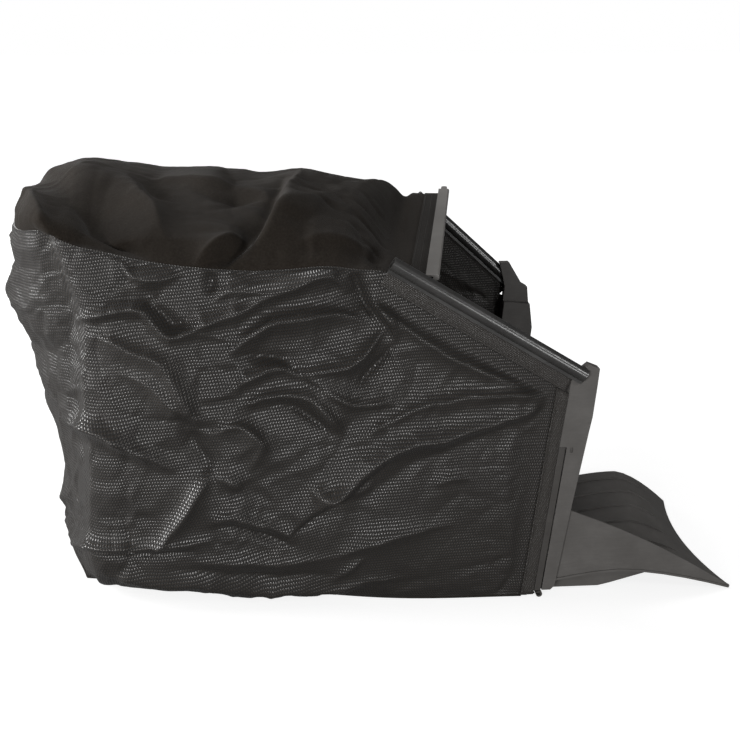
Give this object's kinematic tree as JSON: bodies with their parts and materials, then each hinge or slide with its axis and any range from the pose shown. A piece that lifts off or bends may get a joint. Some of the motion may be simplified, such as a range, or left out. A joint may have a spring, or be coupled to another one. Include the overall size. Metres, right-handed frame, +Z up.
{
  "type": "mower grass collection bag",
  "caption": "Open-mouthed fabric grass bag for a walk-behind mower, with mesh sides, a woven top and base, clip-on rails and a moulded front frame with a chute scoop.",
  "frame": {"origin": "on the ground, midway along the bag's length and width", "axes": "+X from the bag towards the mower, +Y from the near side to the far side, +Z up"},
  "size_m": [0.8372, 0.4488, 0.4676],
  "materials": {
    "moulded_plastic": "fine satin grain, dark warm grey",
    "rail_plastic": "smooth extruded, dark grey with a soft shine",
    "mesh_cloth": "open monofilament mesh, charcoal",
    "woven_cloth": "close plain weave, matte charcoal",
    "binding_tape": "folded and stitched edge tape, matte"
  },
  "bodies": {
    "root": {"front_frame": "moulded_plastic", "chute_scoop": "moulded_plastic", "near_rail": "rail_plastic", "far_rail": "rail_plastic", "top_strip": "rail_plastic", "near_arm_clip": "rail_plastic", "far_arm_clip": "rail_plastic", "sill_clip": "rail_plastic", "near_side_panel": "mesh_cloth", "far_side_panel": "mesh_cloth", "rear_panel": "mesh_cloth", "top_panel": "woven_cloth", "bottom_panel": "woven_cloth", "near_front_hem": "binding_tape", "far_front_hem": "binding_tape", "near_rail_hem": "binding_tape", "far_rail_hem": "binding_tape", "top_front_hem": "binding_tape", "bottom_front_hem": "binding_tape", "top_seam_binding": "binding_tape", "bottom_seam_binding": "binding_tape", "near_rear_binding": "binding_tape", "far_rear_binding": "binding_tape"}
  },
  "joints": []
}
